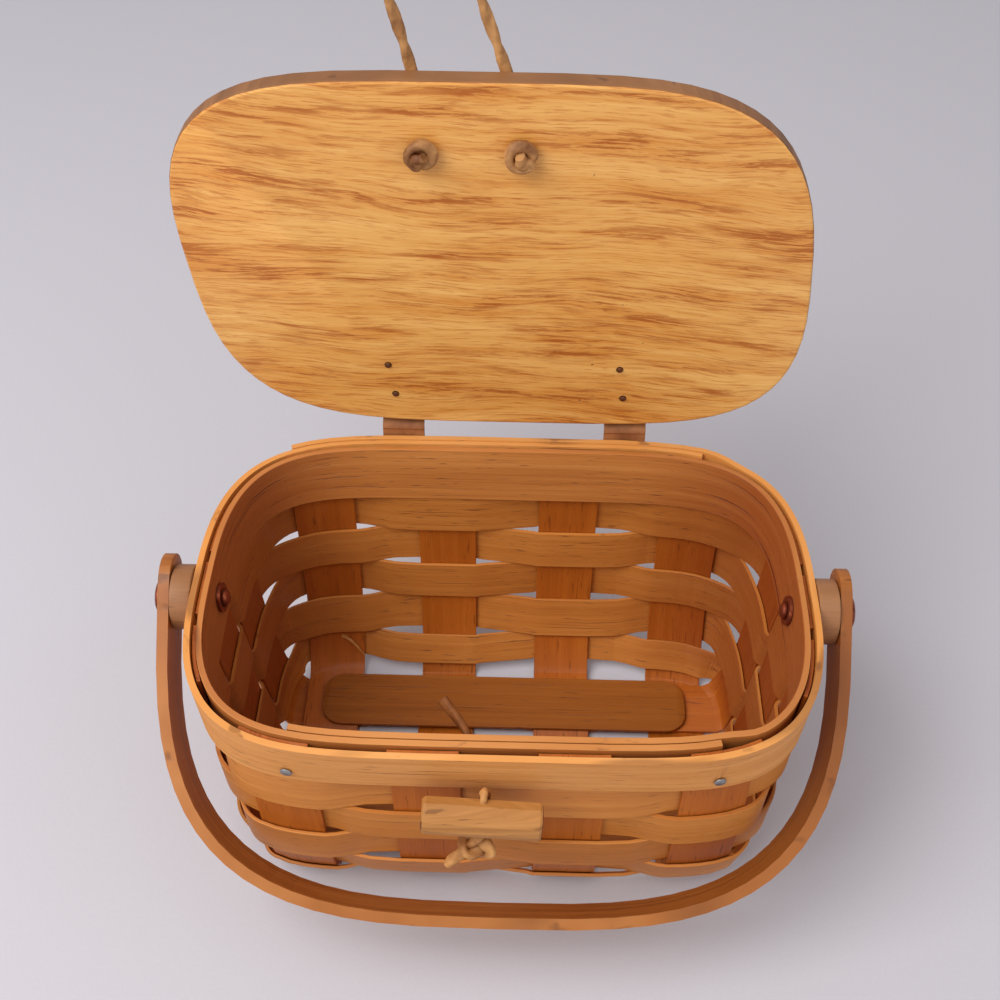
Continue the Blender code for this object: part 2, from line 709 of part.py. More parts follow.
def build_band_leaf(name, place, material):
    """The part of a strap that runs from the hinge line down the back of the outer band."""
    hinge = hinge_place()
    foot = HINGE_HEIGHT - STRAP_BAND_LENGTH
    y_foot = wall_point(math.radians(90), foot).y + hinge.y - wall_point(math.radians(90), HINGE_HEIGHT).y
    along = Vector((hinge.y - y_foot, hinge.z - foot)).normalized()
    across = Vector((along.y, -along.x)) * STRAP_THICKNESS / 2
    outline = [Vector((y_foot, foot)) + across]
    for i in range(2 * BEND_STEPS + 1):
        angle = math.radians(180) * i / (2 * BEND_STEPS)
        radius = STRAP_THICKNESS / 2
        outline.append(hinge.yz + across * math.cos(angle) + along * radius * math.sin(angle))
    outline.append(Vector((y_foot, foot)) - across)
    return add_object(name, prism(name, outline, place - STRAP_WIDTH / 2, place + STRAP_WIDTH / 2), material)


def build_lid_tacks(name, place, material, lid, leaf, axis):
    """Tacks through the strap and the lid, spread over on the lid's inner face."""
    length = GAP + STRAP_THICKNESS + GAP + LID_THICKNESS
    for k, depth in enumerate(LID_TACK_DEPTHS):
        top = lid_at(strap_x(place, depth), depth, length)
        matrix = aim(lid_way(0, 0, 1), top)
        profile = headed_pin(TACK_HEAD_RADIUS, TACK_HEAD_THICKNESS, TACK_RADIUS, length + GAP)[1:]
        end = -length - GAP
        profile = [(0, end - TACK_HEAD_THICKNESS), (TACK_END_RADIUS, end)] + profile
        tack_name = f"{name}_{k + 1}"
        add_object(tack_name, turned(tack_name, profile, matrix, SMALL_SIDES), material, axis)
        hole = add_cutter(tack_name + "_hole", rod(TACK_RADIUS + GAP, -length - CUT_OVERRUN, CUT_OVERRUN), matrix)
        add_cut(lid, hole)
        add_cut(leaf, hole)


def build_band_tacks(name, place, material, outer, leaf):
    """Tacks through the strap and both turns of the outer band."""
    length = GAP + STRAP_THICKNESS + GAP + BAND_THICKNESS + GAP + BAND_THICKNESS + GAP
    for k, drop in enumerate(BAND_TACK_DROPS):
        height = HINGE_HEIGHT - drop
        facing = wall_facing(math.radians(90), height)
        wall = wall_point(math.radians(90), height, LAP_FACE + GAP + STRAP_THICKNESS + GAP)
        matrix = aim(facing, (place, wall.y, height))
        profile = headed_pin(TACK_HEAD_RADIUS, TACK_HEAD_THICKNESS, TACK_RADIUS, length)
        tack_name = f"{name}_{k + 1}"
        add_object(tack_name, turned(tack_name, profile, matrix, SMALL_SIDES), material)
        hole = add_cutter(tack_name + "_hole", rod(TACK_RADIUS + GAP, -length - CUT_OVERRUN, CUT_OVERRUN), matrix)
        add_cut(outer, hole)
        add_cut(leaf, hole)


def build_loop(lace_material, lid, axis):
    """The lid's lace loop: knotted inside, through two holes, over the outer face and past the front edge."""
    lift = LID_THICKNESS + GAP + LOOP_LACE_RADIUS
    leave = LID_THICKNESS + GAP
    edge = LID_DEPTH
    top_middle = sum(LOOP_EDGE_PLACES) / 2 + LOOP_LEAN
    points = []
    for hole_x, edge_x, way in zip(LOOP_HOLE_PLACES, LOOP_EDGE_PLACES, (-1, 1)):
        leg = [
            lid_at(hole_x, LOOP_HOLE_DEPTH, 0),
            lid_at(hole_x, LOOP_HOLE_DEPTH, LID_THICKNESS * 0.6),
            lid_at(hole_x, LOOP_HOLE_DEPTH, leave),
            lid_at(hole_x, LOOP_HOLE_DEPTH + LOOP_HOLE_BEND * 0.3, leave + LOOP_HOLE_BEND * 0.7),
            lid_at(hole_x, LOOP_HOLE_DEPTH + LOOP_HOLE_BEND, leave + LOOP_HOLE_BEND),
            lid_at(mix(hole_x, edge_x, 0.4), mix(LOOP_HOLE_DEPTH, edge, 0.5), lift),
            lid_at(edge_x, edge, lift),
            lid_at(mix(edge_x, top_middle + way * LOOP_TOP_WIDTH / 2, 0.5), edge + LOOP_REACH * 0.35, lift),
            lid_at(top_middle + way * LOOP_TOP_WIDTH / 2, edge + LOOP_REACH * 0.7, lift),
            lid_at(top_middle + way * LOOP_TOP_WIDTH * 0.3, edge + LOOP_REACH * 0.95, lift),
        ]
        points += leg + [lid_at(top_middle, edge + LOOP_REACH, lift)] if way < 0 else leg[::-1]
    lace("lid_loop", smooth_path(points), LOOP_LACE_RADIUS, lace_material, axis)
    for k, x in enumerate(LOOP_HOLE_PLACES):
        radii = [LOOP_KNOT_RADIUS * share for share in LOOP_KNOT_SHARES]
        matrix = aim(lid_way(0, 0, -1), lid_at(x, LOOP_HOLE_DEPTH, -GAP - KNOT_FLAT_SHARE * radii[2]))
        name = f"lid_knot_{k + 1}"
        add_object(name, ball(name, radii, matrix, KNOT_FLAT_SHARE), lace_material, axis)
        hole_profile = rod(LOOP_LACE_RADIUS + GAP, -CUT_OVERRUN, LID_THICKNESS + CUT_OVERRUN)
        hole = add_cutter(name + "_hole", hole_profile, aim(lid_way(0, 0, 1), lid_at(x, LOOP_HOLE_DEPTH, 0)))
        add_cut(lid, hole)


# Handle and its pivots


def wall_lean():
    """How far the side walls come out for each unit of height beside the bands."""
    return (wall_sizes(RIM_HEIGHT)[0] - wall_sizes(BAND_FOOT)[0]) / (RIM_HEIGHT - BAND_FOOT)


def pivot_middle():
    """How far out the wall's middle surface is at the pivots."""
    return wall_point(0.0, PIVOT_HEIGHT).x


def lean_inner(mesh, side, limit):
    """Leans the points of a pivot piece that lie inside this distance, so that they follow the wall."""
    for vertex in mesh.vertices:
        if abs(vertex.co.x) < limit:
            vertex.co.x += side * wall_lean() * (vertex.co.z - PIVOT_HEIGHT)


def build_handle(material, axis):
    inner_face = pivot_middle() + BAND_FACE + GAP + SPACER_THICKNESS + GAP
    half_span = inner_face + HANDLE_THICKNESS / 2
    reach = HANDLE_REACH - HANDLE_THICKNESS / 2
    out = Vector((0, -math.cos(HANDLE_REST_DROP), -math.sin(HANDLE_REST_DROP)))
    over = Vector((0, -math.sin(HANDLE_REST_DROP), math.cos(HANDLE_REST_DROP)))
    stations = []
    half_width = HANDLE_WIDTH / 2
    for i in range(END_STEPS):
        angle = math.radians(90) * (1 - (i + 0.25) / END_STEPS)
        drop = HANDLE_EAR - half_width + half_width * math.sin(angle)
        stations.append((half_span, -drop, half_width * math.cos(angle)))
    stations.append((half_span, half_width - HANDLE_EAR, half_width))
    for i in range(HANDLE_STEPS // 2 + 1):
        angle = math.radians(90) * i / (HANDLE_STEPS // 2)
        x = half_span * max(math.cos(angle), 0.0) ** (2 / HANDLE_ARCH_POWER)
        stations.append((x, reach * math.sin(angle) ** (2 / HANDLE_ARCH_POWER), half_width))
    stations += [(-x, y, half) for x, y, half in stations[-2::-1]]
    pivot = Vector((0, 0, PIVOT_HEIGHT))
    rows = []
    for x, distance, half in stations:
        middle = pivot + Vector((x, 0, 0)) + out * distance
        rows.append([middle - over * half, middle + over * half])
    handle = add_object("handle", sheet("handle", rows), material, axis)
    add_thickness(handle, HANDLE_THICKNESS)
    return handle


def build_pivots(materials, handle, bands, stake):
    """A rivet, a spacer and a burr on each side, with their holes."""
    spacer_material, rivet_material = materials
    spacer_from = BAND_FACE + GAP
    spacer_to = spacer_from + SPACER_THICKNESS
    head_from = spacer_to + GAP + HANDLE_THICKNESS + GAP
    burr_to = -BAND_FACE - GAP
    burr_from = burr_to - BURR_THICKNESS
    peen_to = burr_from - GAP
    bore = RIVET_RADIUS + RUNNING_GAP
    for side, word in ((-1, "left"), (1, "right")):
        matrix = aim((side, 0, 0), (side * pivot_middle(), 0, PIVOT_HEIGHT))
        inner_limit = pivot_middle() + spacer_from + GAP
        head_edge = RIVET_HEAD_HEIGHT / 3
        rivet_profile = [
            (0, peen_to - RIVET_PEEN_HEIGHT),
            (RIVET_PEEN_RADIUS * 0.6, peen_to - RIVET_PEEN_HEIGHT * 0.9),
            (RIVET_PEEN_RADIUS, peen_to),
            (RIVET_RADIUS, peen_to),
            (RIVET_RADIUS, head_from),
            (RIVET_HEAD_RADIUS, head_from),
            (RIVET_HEAD_RADIUS, head_from + head_edge),
            (RIVET_HEAD_RADIUS * 0.7, head_from + RIVET_HEAD_HEIGHT * 0.85),
            (0, head_from + RIVET_HEAD_HEIGHT),
        ]
        rivet_mesh = turned(f"rivet_{word}", rivet_profile, matrix)
        lean_inner(rivet_mesh, side, pivot_middle() + burr_from)
        add_object(f"rivet_{word}", rivet_mesh, rivet_material)
        spacer_mesh = turned(f"spacer_{word}", rod(SPACER_RADIUS, spacer_from, spacer_to), matrix)
        lean_inner(spacer_mesh, side, inner_limit)
        spacer = add_object(f"spacer_{word}", spacer_mesh, spacer_material)
        burr_mesh = turned(f"burr_{word}", rod(BURR_RADIUS, burr_from, burr_to), matrix)
        lean_inner(burr_mesh, side, inner_limit)
        burr = add_object(f"burr_{word}", burr_mesh, rivet_material)
        hole = add_cutter(f"rivet_{word}_hole", rod(bore, peen_to - CUT_OVERRUN, head_from + CUT_OVERRUN), matrix)
        for piece in (spacer, burr, handle, stake, *bands):
            add_cut(piece, hole)


# Peg clasp


def lace_line():
    """How far forward the lace runs up between the outer band, which leans out over it, and the peg."""
    highest = PEG_HEIGHT + PEG_RADIUS + GAP + 2 * LACE_RADIUS
    return wall_point(math.radians(-90), highest, BAND_FACE).y - GAP - LACE_RADIUS


def peg_back():
    """How far forward the peg's flat back is."""
    return lace_line() - LACE_RADIUS - GAP


def peg_middle():
    return Vector((PEG_PLACE, peg_back() - PEG_BACK_SHARE * PEG_RADIUS, PEG_HEIGHT))


def lace_top():
    """The place over the peg's top where its own lace meets the lace from the basket, on the swing's axis."""
    height = PEG_HEIGHT + PEG_RADIUS + GAP + LACE_RADIUS
    return Vector((PEG_PLACE, (lace_line() + peg_middle().y) / 2, height))


def elbow(meet, run, way):
    """A quarter turn from the meeting place to straight down, so wide that the lace doesn't fold into itself."""
    turn = []
    for i in range(LACE_ELBOW_STEPS + 1):
        angle = math.radians(90) * i / LACE_ELBOW_STEPS
        turn.append(meet + Vector((0, way * run * math.sin(angle), run * (math.cos(angle) - 1))))
    return turn


def build_peg(wood, lace_material, axis):
    middle = peg_middle()
    tilt = Matrix.Translation(lace_top()) @ Matrix.Rotation(PEG_TILT, 4, "Y") @ Matrix.Translation(-lace_top())
    half = PEG_LENGTH / 2
    profile = [
        (0, -half),
        (PEG_RADIUS - PEG_END_BEVEL, -half),
        (PEG_RADIUS, PEG_END_BEVEL - half),
        (PEG_RADIUS, half - PEG_END_BEVEL),
        (PEG_RADIUS - PEG_END_BEVEL, half),
        (0, half),
    ]
    mesh = turned("toggle_peg", profile, tilt @ aim((1, 0, 0), middle))
    for vertex in mesh.vertices:
        vertex.co.y = min(vertex.co.y, peg_back())
    peg = add_object("toggle_peg", mesh, wood, axis)
    meet = lace_top() - Vector((0, GAP, 0))
    foot = middle - Vector((0, 0, PEG_RADIUS))
    points = elbow(meet, meet.y - middle.y, -1) + [foot]
    lace("toggle_stub", [tilt @ point for point in points], LACE_RADIUS, lace_material, axis)
    bore = rod(LACE_RADIUS + GAP, -CUT_OVERRUN, 2 * PEG_RADIUS)
    slot = rod(LACE_RADIUS + GAP + LACE_SLACK, PEG_RADIUS * 1.5, 2 * PEG_RADIUS + CUT_OVERRUN)
    add_cut(peg, add_cutter("peg_hole", bore, tilt @ aim((0, 0, 1), foot)))
    add_cut(peg, add_cutter("peg_hole_mouth", slot, tilt @ aim((0, 0, 1), foot)))
    knot = foot - Vector((0, PEG_KNOT_FORWARD, GAP + PEG_KNOT_RADIUS))
    radii = (PEG_KNOT_RADIUS, PEG_KNOT_RADIUS, PEG_KNOT_RADIUS)
    add_object("toggle_knot", ball("toggle_knot", radii, tilt @ Matrix.Translation(knot)), lace_material, axis)
    way = Vector(PEG_KNOT_TAIL).normalized()
    start = tilt @ (knot + way * (PEG_KNOT_RADIUS + GAP + LACE_RADIUS / 4))
    lace("toggle_end", [start, start + way * PEG_KNOT_TAIL_LENGTH], LACE_RADIUS, lace_material, axis)


def build_peg_lace(material, rows):
    """The lace that holds the peg, from its loose end inside the basket to the peg's top."""
    level = BAND_FOOT - (ROW_EDGES[0] - ROW_EDGES[1])
    wall = wall_point(turn_at_x(PEG_PLACE, level, -1), level)
    crossing = Vector((PEG_PLACE, wall.y, level))
    inside = crossing + Vector((0, WEAVE_OFFSET + WEAVER_THICKNESS + LACE_RADIUS, 0))
    upward = Vector((PEG_PLACE, lace_line(), level + LACE_BEND * 2))
    meet = lace_top() + Vector((0, GAP, 0))
    top = elbow(meet, lace_line() - meet.y, 1)[::-1]
    below = top[0] - Vector((0, 0, LACE_BEND))
    points = [
        crossing + Vector(LACE_TAIL_TIP),
        crossing + Vector(LACE_TAIL_TURN),
        inside,
        crossing,
        crossing.lerp(Vector((PEG_PLACE, lace_line(), level)), 0.6),
        upward,
        upward.lerp(below, 0.5),
        below,
    ]
    lace("toggle_lace", smooth_path(points) + top, LACE_RADIUS, material)
    reach = WEAVE_OFFSET + WEAVER_THICKNESS + CUT_OVERRUN
    hole_profile = rod(LACE_RADIUS + LACE_SLACK, -reach, reach)
    hole = add_cutter("lace_hole", hole_profile, aim((0, 1, 0), crossing))
    add_cut(rows[0], hole)
    add_cut(rows[1], hole)


def build_basket():
    clear_scene()
    splint = make_material("splint", SPLINT, 0.55)
    stake_wood = make_material("stake_wood", STAKE_WOOD, 0.55)
    band_wood = make_material("band_wood", BAND_WOOD, 0.5)
    oak = make_material("lid_oak", OAK, 0.4)
    handle_wood = make_material("handle_wood", HANDLE_WOOD, 0.42)
    spacer_wood = make_material("spacer_wood", SPACER_WOOD, 0.5)
    strap_leather = make_material("strap_leather", STRAP_BROWN, 0.6)
    lace_leather = make_material("lace_leather", LACE_TAN, 0.65)
    copper = make_material("rivet_copper", COPPER, 0.45, 0.7)
    steel = make_material("nail_steel", STEEL, 0.4, 0.9)

    rows = build_weavers(splint)
    across, along = build_stakes(stake_wood)
    build_fillers(splint)
    inner, outer = build_bands(band_wood)
    build_front_nails(steel, outer, across)

    lid_axis = add_axis("lid_axis", hinge_place())
    lid = build_lid(oak, lid_axis)
    for place, word in zip(STRAP_PLACES, ("left", "right")):
        lid_leaf = build_lid_leaf(f"strap_lid_{word}", place, strap_leather, lid_axis)
        band_leaf = build_band_leaf(f"strap_band_{word}", place, strap_leather)
        build_lid_tacks(f"lid_tack_{word}", place, copper, lid, lid_leaf, lid_axis)
        build_band_tacks(f"band_tack_{word}", place, copper, outer, band_leaf)
    build_loop(lace_leather, lid, lid_axis)

    handle_axis = add_axis("handle_axis", (0, 0, PIVOT_HEIGHT))
    handle = build_handle(handle_wood, handle_axis)
    build_pivots((spacer_wood, copper), handle, (inner, outer), along[1])

    peg_axis = add_axis("peg_axis", lace_top())
    build_peg(spacer_wood, lace_leather, peg_axis)
    build_peg_lace(lace_leather, rows)


build_basket()
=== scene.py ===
import math
import random

import bmesh
import bpy
from mathutils import Matrix, Vector


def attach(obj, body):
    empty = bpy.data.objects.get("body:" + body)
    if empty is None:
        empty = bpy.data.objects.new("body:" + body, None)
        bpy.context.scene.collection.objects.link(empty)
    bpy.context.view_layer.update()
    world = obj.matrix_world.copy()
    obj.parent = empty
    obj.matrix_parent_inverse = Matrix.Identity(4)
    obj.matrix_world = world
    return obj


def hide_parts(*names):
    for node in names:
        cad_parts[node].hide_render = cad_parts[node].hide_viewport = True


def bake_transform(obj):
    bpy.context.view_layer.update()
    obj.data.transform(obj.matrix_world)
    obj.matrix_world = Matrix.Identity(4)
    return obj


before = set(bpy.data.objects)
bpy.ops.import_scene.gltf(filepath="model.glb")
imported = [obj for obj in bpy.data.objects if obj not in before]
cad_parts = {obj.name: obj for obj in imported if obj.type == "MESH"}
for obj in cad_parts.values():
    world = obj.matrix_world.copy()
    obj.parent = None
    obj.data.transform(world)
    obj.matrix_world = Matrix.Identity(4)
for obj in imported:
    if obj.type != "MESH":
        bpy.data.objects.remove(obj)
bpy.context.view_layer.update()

MM = 0.001

# The lid's hinge and board, as in the part's source
HINGE = Vector((0, 60.83, 96.6)) * MM
LID_OPEN = math.radians(92.4)
LID_BACK = 57.4 * MM
LID_UNDER = 95.7 * MM
LID_THICK = 6.35 * MM
LID_DEPTH = 114.8 * MM
GAP = 0.3 * MM


def add_to_scene(name, data):
    obj = bpy.data.objects.new(name, data)
    bpy.context.scene.collection.objects.link(obj)
    return obj


def set_camera():
    """The camera that was fitted to the outlines of the basket in the photograph."""
    lens = bpy.data.cameras.new("camera")
    lens.sensor_width = 36
    lens.sensor_fit = "HORIZONTAL"
    lens.lens = 1.3205 * 36
    camera = add_to_scene("camera", lens)
    pitch, yaw, roll = 0.837, -0.022, 0.006
    forward = Vector((math.sin(yaw) * math.cos(pitch), math.cos(yaw) * math.cos(pitch), -math.sin(pitch)))
    right = Vector((math.cos(yaw), -math.sin(yaw), 0))
    up = right.cross(forward)
    side = right * math.cos(roll) + up * math.sin(roll)
    top = up * math.cos(roll) - right * math.sin(roll)
    pose = Matrix((side, top, -forward)).transposed().to_4x4()
    pose.translation = Vector((0.00385, -0.23383, 0.39022))
    camera.matrix_world = pose
    bpy.context.scene.camera = camera


set_camera()


def lid_at(x, depth, height):
    """A place on the open lid: depth from its back edge, height from its inner face towards the outer one."""
    pose = Matrix.Translation(HINGE) @ Matrix.Rotation(-LID_OPEN, 4, "X") @ Matrix.Translation(-HINGE)
    return pose @ (Vector((x, 0, 0)) * MM + Vector((0, LID_BACK - depth, LID_UNDER + height)))


# Materials


def tone(red, green, blue):
    """A colour as seen on a screen, 0 to 255, in linear light."""
    parts = [value / 255 for value in (red, green, blue)]
    return (*[v / 12.92 if v < 0.04045 else ((v + 0.055) / 1.055) ** 2.4 for v in parts], 1)


class Amount:
    """A number that changes over a surface. Sums and products of it add Math nodes."""

    def __init__(self, finish, socket):
        self.finish = finish
        self.socket = socket

    def maths(self, operation, *values):
        inputs = dict(enumerate(values))
        return self.finish.node("ShaderNodeMath", {"operation": operation}, inputs)

    def maths_alone(self, operation):
        return self.maths(operation, self)

    def __add__(self, other):
        return self.maths("ADD", self, other)

    __radd__ = __add__

    def __mul__(self, other):
        return self.maths("MULTIPLY", self, other)

    __rmul__ = __mul__

    def __sub__(self, other):
        return self.maths("SUBTRACT", self, other)

    def __rsub__(self, other):
        return self.maths("SUBTRACT", other, self)

    def held(self):
        """The same number, held between nothing and one."""
        return self.finish.node("ShaderNodeClamp", {}, {0: self})

    def above(self, level, steepness):
        """Nothing under the level, rising to one over it."""
        return ((self - level) * steepness).held()


class Finish:
    """A material, and the nodes that make its pattern."""

    def __init__(self, name, roughness, **fixed):
        self.material = bpy.data.materials.new(name)
        self.material.use_nodes = True
        self.tree = self.material.node_tree
        self.shader = self.tree.nodes["Principled BSDF"]
        self.set("Roughness", roughness)
        for socket_name, value in fixed.items():
            self.set(socket_name.replace("_", " "), value)

    def feed(self, socket, value):
        if isinstance(value, Amount):
            self.tree.links.new(value.socket, socket)
        else:
            socket.default_value = value

    def set(self, socket_name, value):
        self.feed(self.shader.inputs[socket_name], value)

    def node(self, kind, settings, inputs, output=0):
        node = self.tree.nodes.new(kind)
        for setting, value in settings.items():
            setattr(node, setting, value)
        for key, value in inputs.items():
            self.feed(node.inputs[key], value)
        return Amount(self, node.outputs[output])

    def place(self, turn=0.0):
        """The place on the piece, turned about X so that a sloping piece's grain lies straight."""
        coordinates = self.node("ShaderNodeTexCoord", {}, {}, "Object")
        return self.node("ShaderNodeMapping", {}, {"Vector": coordinates, "Rotation": (turn, 0, 0)})

    def noise(self, place, per_metre, detail=2.0, rough=0.5):
        stretched = self.node("ShaderNodeMapping", {}, {"Vector": place, "Scale": per_metre})
        inputs = {"Vector": stretched, "Scale": 1.0, "Detail": detail, "Roughness": rough}
        return self.node("ShaderNodeTexNoise", {}, inputs)

    def blend(self, share, first, second):
        inputs = {0: share, 6: first, 7: second}
        return self.node("ShaderNodeMix", {"data_type": "RGBA"}, inputs, 2)

    def end_shade_mask(self):
        """Where shade is painted: one on the faces inside the two ends of the basket, nothing outside it and along
        its middle.
        """
        coordinates = self.node("ShaderNodeTexCoord", {}, {}, "Object")
        facing = self.node("ShaderNodeNewGeometry", {}, {}, "Normal")
        level = self.node("ShaderNodeMapping", {}, {"Vector": coordinates, "Scale": (1, 1, 0)})
        outwards = self.node("ShaderNodeVectorMath", {"operation": "DOT_PRODUCT"}, {0: facing, 1: level}, "Value")
        sideways = self.node("ShaderNodeSeparateXYZ", {}, {0: coordinates}, "X").maths_alone("ABSOLUTE")
        height = self.node("ShaderNodeSeparateXYZ", {}, {0: coordinates}, "Z")
        above_floor = ((height - 0.004) * 120).held()
        return (outwards * -60 + 0.7).held() * ((sideways - 0.04) * 28).held() * above_floor

    def bump(self, height, depth, strength=1.0):
        inputs = {"Strength": strength, "Distance": depth, "Height": height}
        self.set("Normal", self.node("ShaderNodeBump", {}, inputs))


def stretch(slow, fine, way):
    """Pattern sizes per metre with the fine one across the grain: way is the axis that crosses the grain."""
    return tuple(fine if axis == way else slow for axis in "xyz")


def splint_finish(name, colours, way, turn=0.0, streak=520.0, shine=0.42, contrast=1.0, splits=0.3, end_shade_colour=None):
    """Thin split wood: streaks, broad changes of tone, pores, scuffs and splits, and painted shade inside the ends.
    """
    dark, middle, light, pore = colours
    finish = Finish(name, 0.5, Specular_IOR_Level=0.4)
    place = finish.place(turn)
    broad = finish.noise(place, stretch(9, 60, way), 2)
    streaks = finish.noise(place, stretch(11, streak, way), 4, 0.62)
    fibres = finish.noise(place, stretch(45, streak * 4.2, way), 3, 0.6)
    pores = finish.noise(place, stretch(130, streak * 3.2, way), 2).above(0.64, 11)
    scuffs = finish.noise(place, (70, 70, 70), 4, 0.65).above(0.6, 4)
    cracks = finish.noise(place, stretch(20, streak * 1.7, way), 2, 0.4).above(0.66, 16)
    tones = ((streaks * 1.5 + fibres * 0.5 + broad * 1.1 - 1.55) * contrast + 0.5).held()
    lower = finish.blend((tones * 2).held(), dark, middle)
    colour = finish.blend((tones * 2 - 1).held(), lower, light)
    colour = finish.blend(pores * 0.55, colour, pore)
    colour = finish.blend(scuffs * 0.18, colour, light)
    colour = finish.blend(cracks * splits, colour, pore)
    # Painted shade: the faces inside the two ends are blended towards a darker, redder colour.
    if end_shade_colour:
        colour = finish.blend(finish.end_shade_mask() * 0.6, colour, end_shade_colour)
    finish.set("Base Color", colour)
    finish.set("Roughness", shine + streaks * 0.2 + scuffs * 0.1)
    finish.bump(fibres * 0.6 + streaks * 0.5 * contrast - pores * 0.5 - cracks * splits * 2, 0.00022, 0.7)
    return finish.material


def oak_finish():
    """Flat-sawn oak: wandering growth bands with clusters of short dark dashes along them."""
    finish = Finish("honey oak board", 0.4, Specular_IOR_Level=0.45, Coat_Weight=0.12, Coat_Roughness=0.3)
    place = finish.place()
    parts = [finish.node("ShaderNodeSeparateXYZ", {}, {0: place}, axis) for axis in "XYZ"]
    wander = finish.noise(place, (10, 10, 20), 2)
    waves = finish.noise(place, (38, 38, 110), 2)
    slope = parts[0] * 0.055
    height = parts[2] + slope + (wander - 0.5) * 0.02 + (waves - 0.5) * 0.0018
    bent = finish.node("ShaderNodeCombineXYZ", {}, {0: parts[0], 1: parts[1], 2: height})
    bands = finish.noise(bent, (8, 8, 170), 3, 0.6)
    clusters = finish.noise(bent, (17, 17, 140), 3, 0.62).above(0.45, 6)
    dashes = finish.noise(bent, (70, 70, 980), 4, 0.7).above(0.495, 14)
    ticks = finish.noise(bent, (110, 110, 2000), 3, 0.6).above(0.54, 13)
    lines = finish.noise(bent, (30, 30, 1500), 3, 0.6)
    broad = finish.noise(place, (10, 10, 24), 1)
    blemish = finish.noise(place, (300, 300, 420), 2).above(0.775, 30)
    tones = (bands * 1.1 + lines * 1.1 + broad * 0.6 - 0.88).held()
    colour = finish.blend(tones, tone(212, 138, 52), tone(244, 192, 112))
    colour = finish.blend(clusters * 0.5, colour, tone(206, 122, 32))
    colour = finish.blend(ticks * 0.5, colour, tone(184, 100, 20))
    colour = finish.blend(dashes * clusters * 0.85, colour, tone(166, 82, 6))
    colour = finish.blend(blemish * 0.8, colour, tone(98, 50, 14))
    finish.set("Base Color", colour)
    finish.set("Roughness", 0.36 + dashes * clusters * 0.2 + lines * 0.12)
    finish.bump(lines * 0.4 - dashes * clusters * 0.5 - blemish * 0.8, 0.0002, 0.6)
    return finish.material


def leather_finish(name, dark, light, shine):
    finish = Finish(name, shine, Specular_IOR_Level=0.35)
    place = finish.place()
    grain = finish.noise(place, (900, 900, 900), 3, 0.6)
    wear = finish.noise(place, (110, 110, 110), 3, 0.6)
    marks = finish.noise(place, (420, 420, 420), 2).above(0.6, 6)
    colour = finish.blend((wear * 2.6 - 0.75).held(), dark, light)
    colour = finish.blend(marks * 0.35, colour, dark)
    finish.set("Base Color", colour)
    finish.set("Roughness", shine + wear * 0.15)
    finish.bump(grain * 0.6 + wear * 0.5 - marks * 0.4, 0.00025, 0.7)
    return finish.material


def metal_finish(name, dark, light, shine, tarnish):
    finish = Finish(name, shine)
    place = finish.place()
    patches = finish.noise(place, (500, 500, 500), 4, 0.65)
    dull = (patches * 2.2 - 0.65).held()
    finish.set("Base Color", finish.blend(dull, light, dark))
    finish.set("Metallic", 1 - dull * tarnish)
    finish.set("Roughness", shine + dull * 0.3)
    finish.bump(patches, 0.00015, 0.6)
    return finish.material


weave_colours = (tone(160, 88, 28), tone(198, 124, 52), tone(222, 156, 80), tone(96, 50, 18))
stake_colours = (tone(146, 70, 12), tone(176, 92, 20), tone(200, 116, 36), tone(96, 44, 10))
band_colours = (tone(184, 112, 48), tone(214, 142, 68), tone(230, 164, 94), tone(104, 58, 26))
inner_colours = (tone(156, 88, 36), tone(188, 118, 54), tone(210, 142, 76), tone(80, 40, 16))
handle_colours = (tone(120, 62, 16), tone(160, 94, 36), tone(200, 134, 70), tone(84, 44, 14))
pale_colours = (tone(120, 78, 44), tone(148, 100, 62), tone(170, 122, 82), tone(92, 56, 30))

# The last colour given to the woven rows, the stakes and the inner band is painted shade on the faces inside the two
# ends.
row_finishes = [
    splint_finish(f"woven splint {row}", weave_colours, "z", streak=size, contrast=0.45, splits=0.35, end_shade_colour=tone(120, 40, 8))
    for row, size in enumerate((470.0, 560.0, 510.0, 620.0, 490.0), start=1)
]
across_finish = splint_finish("stakes across", stake_colours, "x", streak=430.0, contrast=0.5, end_shade_colour=tone(112, 34, 6))
along_finish = splint_finish("stakes along", stake_colours, "y", streak=450.0, contrast=0.5, end_shade_colour=tone(112, 34, 6))
outer_finish = splint_finish("outer band", band_colours, "z", streak=600.0, contrast=0.8, splits=0.5)
inner_finish = splint_finish("inner band", inner_colours, "z", streak=560.0, contrast=0.7, splits=1.0, end_shade_colour=tone(128, 46, 12))
floor_colours = (tone(116, 60, 10), tone(150, 84, 18), tone(172, 106, 34), tone(78, 38, 10))
floor_finish = splint_finish("floor splints", floor_colours, "y", streak=520.0, contrast=0.5)
handle_finish = splint_finish("bent handle", handle_colours, "z", turn=math.radians(-40), streak=430.0, shine=0.36, contrast=0.7)
spacer_finish = splint_finish("pale spacers", pale_colours, "z", streak=420.0, contrast=0.5, splits=0.1)
peg_colours = (tone(134, 82, 32), tone(164, 108, 50), tone(188, 130, 68), tone(92, 54, 22))
peg_end_finish = splint_finish("cut ends of the peg", (tone(84, 44, 14), tone(122, 72, 28), tone(150, 96, 44), tone(60, 30, 10)), "y")
peg_finish = splint_finish("whittled peg", peg_colours, "z", streak=700.0)
board_edge_finish = splint_finish("board edge", (tone(98, 62, 34), tone(132, 86, 48), tone(158, 108, 64), tone(70, 42, 20)), "z")
oak = oak_finish()
peg_lace_leather = leather_finish("pale lace", tone(140, 84, 38), tone(210, 154, 90), 0.55)
